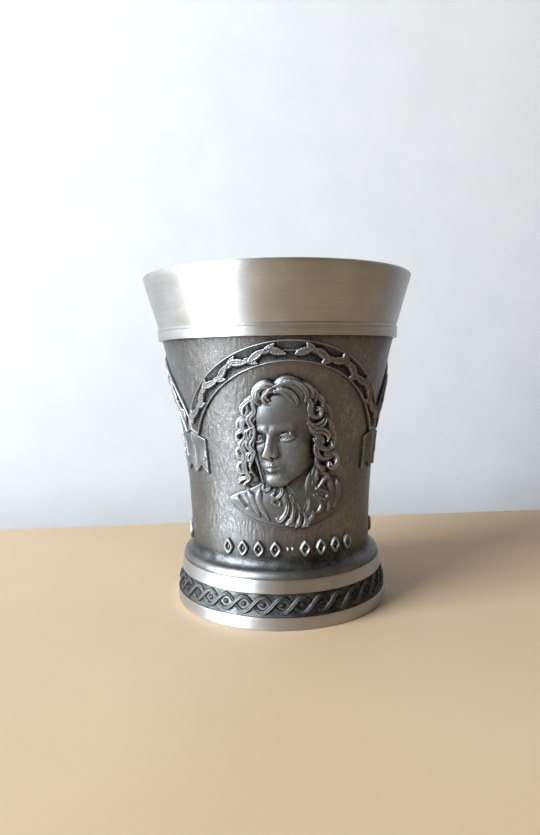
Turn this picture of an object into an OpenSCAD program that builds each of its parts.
// Pewter shot beaker: a flared cup with a bright turned rim, a dark cast relief wall in three
// panels, a braided foot and a soldered floor. The axis is Z, the foot stands on z = 0 and the
// portrait panel faces -Y. All sizes are millimetres.

/* [Body] */
// Height from the table to the lip
cup_h = 60; // [50:0.5:72]
// Outside radius of the wall at its waist
waist_r = 16.9; // [14:0.1:20.5]
// Height of the waist's narrowest ring
waist_z = 11.5; // [9:0.5:16]
// Radius of the arc that the wall's outside follows
flare_r = 150; // [120:5:240]
// Thickness of the cast wall
wall_t = 1.3; // [0.9:0.1:1.8]

/* [Rim] */
// Height of the bright rim, with its collar
rim_h = 11.5; // [9:0.5:14]
// Height of the collar at the rim's lower edge
collar_h = 2.1; // [1.5:0.1:3]
// How far the collar stands out of the wall
collar_step = 0.7; // [0.3:0.05:1]
// How far the lip stands out beyond the collar
lip_flare = 2.5; // [1.5:0.1:4]
// Thickness of the metal at the lip
lip_t = 0.9; // [0.6:0.05:1.2]

/* [Foot] */
// Height of the bright foot
foot_h = 8.2; // [6.8:0.1:10]
// How far the foot's upper edge stands out of the waist
shoulder_step = 1.8; // [1.2:0.1:2.4]
// How much wider the foot is at the table than at its upper edge
foot_taper = 1.2; // [0.6:0.1:2]
// Height of the bright band at the table
foot_band_h = 2.25; // [1.5:0.05:2.8]
// Height of the bright band under the wall
top_band_h = 2.15; // [1.5:0.05:2.8]
// Depth of the channel that the braid lies in
channel_d = 0.35; // [0.2:0.05:0.6]

/* [Floor] */
// Thickness of the floor disc
floor_t = 1.2; // [0.8:0.1:1.8]
// Height of the floor disc's underside above the table
floor_z = 2.5; // [1.5:0.1:3.5]
// Width of the ledge that the floor disc seats against
floor_ledge = 1; // [0.6:0.1:1.4]
// Gap round the edge of the floor disc, filled by solder at its foot
floor_gap = 0.05; // [0.02:0.01:0.1]
// Leg of the solder fillet under the floor disc
solder_leg = 0.6; // [0.3:0.1:1]

/* [Braid] */
// Crossings of the two strands round the foot
braid_crossings = 36; // [24:2:48]
// Width of one strand
strand_w = 0.75; // [0.5:0.05:0.9]
// How far a strand's ridge stands above the channel
strand_t = 0.42; // [0.25:0.01:0.5]
// Radius of the pellet in each eye of the braid
pellet_r = 0.42; // [0.3:0.01:0.5]

/* [Relief] */
// Gap between the top of the banner and the collar
arch_gap = 0.6; // [0.3:0.1:1.5]
// Outer radius of the banner's arch, unrolled
arch_r = 21.5; // [18:0.5:25]
// Width of the banner's ribbon
ribbon_w = 3.5; // [2.5:0.1:4.5]
// Thickness of the banner's ribbon
ribbon_t = 0.4; // [0.25:0.05:0.6]
// Gap between the foot's shoulder and the row of studs
row_gap = 1.3; // [0.8:0.1:3]
// Height of the portrait at its middle
portrait_t = 1.9; // [1:0.1:2.2]

/* [Hidden] */

$fn = 96;
arc_fn = 720;             // facets of the large arc that shapes the wall
eps = 0.01;

bright = [0.78, 0.77, 0.75];
dark = [0.34, 0.33, 0.32];
rubbed = [0.52, 0.50, 0.48];

// Wall and rim
wall_top = cup_h - rim_h;
function wall_r(z) = waist_r + flare_r - sqrt(flare_r * flare_r - (z - waist_z) * (z - waist_z));
collar_r = wall_r(wall_top) + collar_step;
lip_r = collar_r + lip_flare;
bead_r = 0.3;             // bead along the collar's upper edge
collar_lean = 0.12;       // how far the collar leans out towards its bead

// Foot and floor
foot_top_r = waist_r + shoulder_step;
foot_r = foot_top_r + foot_taper;
foot_edge = 0.2;          // chamfer at the table
foot_inner_edge = 0.8;    // how far the bore opens at the table
bore_r = wall_r(foot_h) - wall_t;
seat_r = bore_r + floor_ledge;
floor_top = floor_z + floor_t;
channel_z = [foot_band_h, foot_h - top_band_h];
channel_mid = (channel_z[0] + channel_z[1]) / 2;
function foot_side_r(z) =
    foot_r - foot_taper * max(0, z - foot_band_h) / (foot_h - foot_band_h);
function channel_r(z) = foot_side_r(z) - channel_d;

// Unrolled panels: u runs round the wall and v up it, from the centre of the banner's arch
shoulder_top = foot_h + shoulder_step;
row_drop = 15.1;          // from the arch's centre down to the foot of the row of studs
end_rise = 6.2;           // height of the ribbon's ends above the arch's centre
arch_half_w = 19.3;       // where two neighbouring arches meet
panel_top = wall_top - arch_gap;
tall_k = (panel_top - shoulder_top - row_gap) / (arch_r + row_drop);
meet_r = wall_r(panel_top - tall_k * (arch_r - end_rise));
wide_k = PI * meet_r / 3 / arch_half_w;
art_k = min(tall_k, wide_k);
arch_z = panel_top - art_k * arch_r;
panel_turn = 120;
panel_gap = 0.1;          // between neighbouring panels' ribbons

// Half the width of a panel at height v
function panel_half_w(v) = PI / 3 * wall_r(arch_z + art_k * v) / art_k - panel_gap / 2;

// Outer radius of the banner at angle a, drawn in where the neighbouring panel's banner meets it
function reach(a, r) = min(arch_r, panel_half_w(r * sin(a)) / max(eps, abs(cos(a))));
function banner_out_r(a) = reach(a, reach(a, reach(a, arch_r)));

// Least thickness of a relief along its edge
edge_t = 0.12;

function on_wall(p, h) =
    let (z = arch_z + art_k * p[1], a = art_k * p[0] / wall_r(z) * 180 / PI, r = wall_r(z) + h)
    [r * sin(a), -r * cos(a), z];

// A relief over a grid: path(s, t) gives [u, v] for s in 0..1 and t in -1..1, rise(s, t) its height
module raised_strip(n, m, path, rise) {
    rows = [for (i = [0:n]) for (j = [0:m]) [i / n, 2 * j / m - 1]];
    front = [for (q = rows) on_wall(path(q[0], q[1]), edge_t + rise(q[0], q[1]))];
    back = [for (q = rows) on_wall(path(q[0], q[1]), 0)];
    w = m + 1;
    b = len(front);
    faces = concat(
        [for (i = [0:n - 1]) for (j = [0:m - 1]) let (a = i * w + j)
            each [[a, a + 1, a + w + 1], [a, a + w + 1, a + w],
                  [b + a, b + a + w + 1, b + a + 1], [b + a, b + a + w, b + a + w + 1]]],
        [for (i = [0:n - 1]) let (a = i * w, c = i * w + m)
            each [[a, a + w, b + a + w], [a, b + a + w, b + a],
                  [c, b + c + w, c + w], [c, b + c, b + c + w]]],
        [for (j = [0:m - 1]) let (a = j, c = n * w + j)
            each [[a, b + a, b + a + 1], [a, b + a + 1, a + 1],
                  [c, c + 1, b + c + 1], [c, b + c + 1, b + c]]]);
    polyhedron(concat(front, back), faces, 4);
}

// A relief inside an outline that runs anticlockwise round its centre, rise(q) from 0 to 1 outward,
// and seat the height of what it lies on
module raised_shape(centre, outline, rings, rise, seat = 0) {
    n = len(outline);
    spots = [for (r = [1:rings]) for (p = outline) [centre + (p - centre) * r / rings, r / rings]];
    front = concat([on_wall(centre, seat + edge_t + rise(0))],
                   [for (s = spots) on_wall(s[0], seat + edge_t + rise(s[1]))]);
    back = concat([on_wall(centre, seat)], [for (s = spots) on_wall(s[0], seat)]);
    b = len(front);
    last = 1 + (rings - 1) * n;
    faces = concat(
        [for (i = [0:n - 1]) let (j = (i + 1) % n)
            each [[0, 1 + j, 1 + i], [b, b + 1 + i, b + 1 + j]]],
        [for (r = [0:rings - 2]) if (rings > 1) for (i = [0:n - 1])
            let (j = (i + 1) % n, a = 1 + r * n + i, c = 1 + r * n + j)
            each [[a, c, c + n], [a, c + n, a + n],
                  [b + a, b + c + n, b + c], [b + a, b + a + n, b + c + n]]],
        [for (i = [0:n - 1]) let (j = (i + 1) % n, a = last + i, c = last + j)
            each [[a, c, b + c], [a, b + c, b + a]]]);
    polyhedron(concat(front, back), faces, 4);
}

function flat(h) = function(q) h;
function dome(h) = function(q) h * sqrt(max(0, 1 - q * q));
function ellipse(c, a, b, n, tilt = 0) =
    [for (i = [0:n - 1]) let (t = 360 * i / n)
        c + [a * cos(t) * cos(tilt) - b * sin(t) * sin(tilt),
             a * cos(t) * sin(tilt) + b * sin(t) * cos(tilt)]];
function on_arch(r, a) = [r * cos(a), r * sin(a)];

// The turned rim: a plain cone above a beaded collar
module rim_ring() {
    bead_z = wall_top + collar_h - bead_r;
    cone_z = wall_top + collar_h;
    cone_r = collar_r - collar_lean;
    color(bright) rotate_extrude() {
        polygon([[wall_r(wall_top) - wall_t, wall_top], [collar_r, wall_top],
                 [collar_r + collar_lean, bead_z], [cone_r, cone_z], [lip_r, cup_h - lip_t / 2],
                 [lip_r - lip_t, cup_h - lip_t / 2]]);
        translate([collar_r + collar_lean - bead_r, bead_z]) circle(r = bead_r, $fn = 32);
        translate([lip_r - lip_t / 2, cup_h - lip_t / 2]) circle(r = lip_t / 2, $fn = 32);
    }
}

// Everything inside the arc of the wall, from z0 up to z1, moved inward by shift
module wall_profile(shift, z0, z1) {
    difference() {
        translate([0, z0]) square([wall_r(z1) - shift + 1, z1 - z0]);
        translate([waist_r + flare_r - shift, waist_z]) circle(r = flare_r, $fn = arc_fn);
    }
}

// The cast wall, with the round shoulder that it lands on the foot with
module relief_wall() {
    color(dark) rotate_extrude() difference() {
        union() {
            wall_profile(0, foot_h, wall_top);
            intersection() {
                translate([waist_r, foot_h]) circle(r = shoulder_step, $fn = 64);
                translate([waist_r - wall_t / 2, foot_h])
                    square([shoulder_step + wall_t, shoulder_step]);
            }
        }
        wall_profile(wall_t, foot_h - 1, wall_top + 1);
    }
}

// The turned foot: two bright bands, the braid's channel and the floor's seat
module foot_ring() {
    color(bright) rotate_extrude() polygon([
        [seat_r + foot_inner_edge, 0], [foot_r - foot_edge, 0], [foot_r, foot_edge],
        [foot_r, channel_z[0]], [channel_r(channel_z[0]), channel_z[0] + eps],
        [channel_r(channel_z[1]), channel_z[1]], [foot_side_r(channel_z[1]), channel_z[1] + eps],
        [foot_top_r, foot_h], [bore_r, foot_h], [bore_r, floor_top],
        [seat_r + floor_gap, floor_top], [seat_r + floor_gap, floor_z - solder_leg]]);
}

// The floor, let in from below against its ledge
module floor_disc() {
    color(bright) translate([0, 0, floor_z]) cylinder(r = seat_r, h = floor_t);
}

// The fillet of solder round the floor's underside
module floor_solder() {
    color(rubbed) rotate_extrude() polygon([
        [seat_r - solder_leg, floor_z], [seat_r + floor_gap, floor_z - solder_leg],
        [seat_r + floor_gap, floor_z]]);
}

// One strand of the braid, a ridge that waves round the channel; side is 1 or -1
module strand(side) {
    steps = 6 * braid_crossings;
    swing = (channel_z[1] - channel_z[0] - strand_w) / 2 - 0.35;
    function middle(a) = channel_mid + side * swing * sin(a * braid_crossings / 2);
    function spot(a, dz, h) = let (z = middle(a) + dz) [(channel_r(z) + h) * sin(a),
                                                       -(channel_r(z) + h) * cos(a), z];
    // a slanting stretch is taller in z, so that its width across stays the same
    function half_w(a) = let (slope = swing * braid_crossings / 2 / foot_r
                                      * cos(a * braid_crossings / 2))
        strand_w / 2 * sqrt(1 + slope * slope);
    points = [for (i = [0:steps - 1]) let (a = 360 * i / steps)
        each [spot(a, -half_w(a), 0), spot(a, half_w(a), 0), spot(a, 0, strand_t)]];
    faces = [for (i = [0:steps - 1]) for (j = [0:2])
        let (a = 3 * i + j, b = 3 * i + (j + 1) % 3,
             c = 3 * ((i + 1) % steps) + j, d = 3 * ((i + 1) % steps) + (j + 1) % 3)
        each [[a, d, b], [a, c, d]]];
    polyhedron(points, faces, 4);
}

module braid_strands() {
    color(rubbed) union() {
        strand(1);
        strand(-1);
    }
}

module braid_pellets() {
    color(rubbed) difference() {
        for (i = [0:braid_crossings - 1])
            rotate(360 * (i + 0.5) / braid_crossings)
                translate([0, -channel_r(channel_mid), channel_mid]) sphere(r = pellet_r, $fn = 16);
        rotate_extrude() polygon([
            [0, channel_z[0]], [channel_r(channel_z[0]), channel_z[0]],
            [channel_r(channel_z[1]), channel_z[1]], [0, channel_z[1]]]);
    }
}

// The arched ribbon over each panel, with a raised border along both edges
arch_end = asin(end_rise / (arch_r - ribbon_w / 2));
module banner(turn) {
    border_t = 0.15;
    in_r = arch_r - ribbon_w;
    color(dark) rotate(turn) raised_strip(40, 6,
        function(s, t) let (a = 180 - arch_end - s * (180 - 2 * arch_end))
            on_arch(in_r + (banner_out_r(a) - in_r) * (t + 1) / 2, a),
        function(s, t) ribbon_t + (abs(t) > 0.9 ? border_t : 0) - edge_t);
}
module banner_front() { banner(0); }
module banner_left() { banner(-panel_turn); }
module banner_right() { banner(panel_turn); }

// A row of laurel leaves along the banner, springing in pairs from the top towards both ends
leaf_pairs = 7;
leaf_l = 3;
leaf_w = 1.05;
module leaves(turn) {
    mid_r = arch_r - ribbon_w / 2;
    leaf_t = 0.35;
    span = 90 - arch_end - 8;
    color(rubbed) rotate(turn) for (side = [-1, 1]) for (i = [0:leaf_pairs - 1]) {
        a = 90 - side * span * (i + 0.7) / leaf_pairs;
        c = on_arch(mid_r, a);
        tilt = a - 90 + side * (i % 2 == 0 ? 22 : -22);
        raised_shape(c, [for (p = [[1, 0], [0.4, 0.8], [-0.3, 1], [-1, 0], [-0.3, -1], [0.4, -0.8]])
            c + [side * p[0] * leaf_l / 2 * cos(tilt) - side * p[1] * leaf_w / 2 * sin(tilt),
                 side * p[0] * leaf_l / 2 * sin(tilt) + side * p[1] * leaf_w / 2 * cos(tilt)]],
            1, function(q) q < 1 ? leaf_t : 0, ribbon_t);
    }
}
module leaves_front() { leaves(0); }
module leaves_left() { leaves(-panel_turn); }
module leaves_right() { leaves(panel_turn); }

// The two swallow-tailed ribbon ends that hang where neighbouring arches meet
tail_w = 3.6;
tail_l = 6.3;
tail_notch = 1.5;         // depth of the swallow-tail
tail_gap = 0.15;          // from the tail to the line between two panels, and to the ribbon's end
tail_in = arch_half_w - tail_gap - tail_w;
// u of a line that hangs straight down the wall from the tail's top
function plumb(u, v) = u * wall_r(arch_z + art_k * v) / wall_r(arch_z + art_k * end_rise);
module tail(side) {
    raised_strip(6, 4, function(s, t)
        let (q = side > 0 ? s : 1 - s,
             high = (tail_in + q * tail_w) * tan(arch_end) - tail_gap,
             low = tail_in * tan(arch_end) - tail_l + tail_notch * (1 - abs(2 * q - 1)),
             v = low + (t + 1) / 2 * (high - low))
        [side * plumb(tail_in + q * tail_w, v), v], function(s, t) ribbon_t - edge_t);
}
// The pair to the left of the panel at this turn, one from each of the two panels
module tails(turn) {
    color(dark) {
        rotate(turn - panel_turn) tail(1);
        rotate(turn) tail(-1);
    }
}
module tails_front_left() { tails(0); }
module tails_front_right() { tails(panel_turn); }
module tails_back() { tails(-panel_turn); }

// The bust: a head turned a little to the left, long curled hair, an open collar and a coat
head_c = [-0.6, 5];
head_a = 4.9;
head_b = 7.2;
head_tilt = 4;
module portrait_head() {
    color(rubbed) raised_shape(head_c, ellipse(head_c, head_a, head_b, 32, head_tilt), 6, dome(portrait_t));
}
module portrait_hair() {
    curls = 9;
    curl_depth = 0.5;
    hair_a = 8.1;
    hair_b = 10.3;
    gap = 0.05;
    sweep_a = 236;
    sweep_b = -56;
    color(rubbed) raised_strip(72, 4, function(s, t)
        let (a = sweep_a + s * (sweep_b - sweep_a), q = (t + 1) / 2,
             lobe = 1 + curl_depth / hair_a * sin(a * curls * 2),
             near = [(head_a + gap) * cos(a), (head_b + gap) * sin(a)],
             far = [hair_a * cos(a) * lobe, hair_b * sin(a) * lobe])
        head_c + near * (1 - q) + far * q,
        function(s, t) portrait_t * 0.6 * sqrt(max(0, 1 - t * t)));
}
// The round lower edge of the bust
bust_r = 15;
bust_c = [0.3, 5.3];
function on_bust(a) = bust_c + bust_r * [cos(a), sin(a)];
module portrait_collar() {
    color(rubbed) raised_shape([0.4, -5.9], concat(
        [[3.4, -2.6], [0.4, -2.5], [-2.9, -2.6], [-3.9, -4.6], [-3.2, -7.6]],
        [for (a = [266:5:282]) on_bust(a)], [[4.1, -7.6], [4.7, -4.4]]), 3, dome(portrait_t * 0.5));
}
module portrait_coat() {
    color(rubbed) {
        raised_shape([-5.8, -6], concat([[-4.1, -4.8], [-5.7, -4], [-9.4, -3.9]],
            [for (a = [222:8:262]) on_bust(a)], [[-3.4, -7.9]]), 3, dome(portrait_t * 0.4));
        raised_shape([6.8, -5.6], concat([[4.9, -4.6], [4.3, -7.8]],
            [for (a = [286:7:321]) on_bust(a)], [[9.6, -2.9], [6.4, -3.4]]), 3, dome(portrait_t * 0.4));
    }
}

// The lyre of the left panel
module lyre_body() {
    color(rubbed) rotate(-panel_turn) {
        raised_shape([0, -5.5], ellipse([0, -5.5], 3.8, 2.4, 20), 2, dome(0.9));
        raised_strip(6, 2, function(s, t) [-4.9 + 9.8 * s, 11.2 + 0.45 * t], function(s, t) 0.5);
        for (u = [-1.8:0.9:1.8])
            raised_strip(1, 8, function(s, t) [u + 0.2 * (s - 0.5), 3.8 + 6.9 * t], function(s, t) 0.2);
    }
}
module lyre_arms() {
    color(rubbed) rotate(-panel_turn) for (side = [-1, 1])
        raised_strip(20, 2, function(s, t)
            let (v = -4 + 16.5 * s, bow = side * (4 + 2.6 * sin(180 * s) - 0.6 * s), w = 0.65 * (1.3 - s))
            [bow + w * t, v], function(s, t) t == 0 ? 0.7 : 0.2);
}

// The gabled house of the right panel
module house_walls() {
    color(rubbed) rotate(panel_turn) {
        raised_strip(10, 8, function(s, t) [-5.2 + 10.4 * s, -3.2 + 4.8 * t], function(s, t) 0.45);
    }
}
module house_roof() {
    color(rubbed) rotate(panel_turn)
        raised_strip(12, 8, function(s, t) let (q = (t + 1) / 2)
            [(-6.4 + 12.8 * s) * (1 - 0.93 * q), 1.65 + 9.4 * q], function(s, t) 0.6);
}

// The row of lozenge studs at the foot of each panel, in two groups with a pair of dots between
module studs(turn) {
    row_mid = -13.4;
    stud_pitch = 2.8;
    stud_first = 2.5;
    stud = [1, 1.5];
    color(rubbed) rotate(turn) {
        for (side = [-1, 1]) for (i = [0:3]) {
            c = [side * (stud_first + stud_pitch * i), row_mid];
            raised_shape(c, [c + [stud[0], 0], c + [0, stud[1]], c - [stud[0], 0], c - [0, stud[1]]],
                1, function(q) 0.5 * (1 - q));
        }
        for (u = [-0.4, 0.4])
            raised_shape([u, row_mid], ellipse([u, row_mid], 0.3, 0.45, 8), 1, dome(0.3));
    }
}
module studs_front() { studs(0); }
module studs_left() { studs(-panel_turn); }
module studs_right() { studs(panel_turn); }

rim_ring();
relief_wall();
foot_ring();
floor_disc();
floor_solder();
braid_strands();
braid_pellets();
banner_front();
banner_left();
banner_right();
leaves_front();
leaves_left();
leaves_right();
tails_front_left();
tails_front_right();
tails_back();
portrait_head();
portrait_hair();
portrait_collar();
portrait_coat();
lyre_body();
lyre_arms();
house_walls();
house_roof();
studs_front();
studs_left();
studs_right();
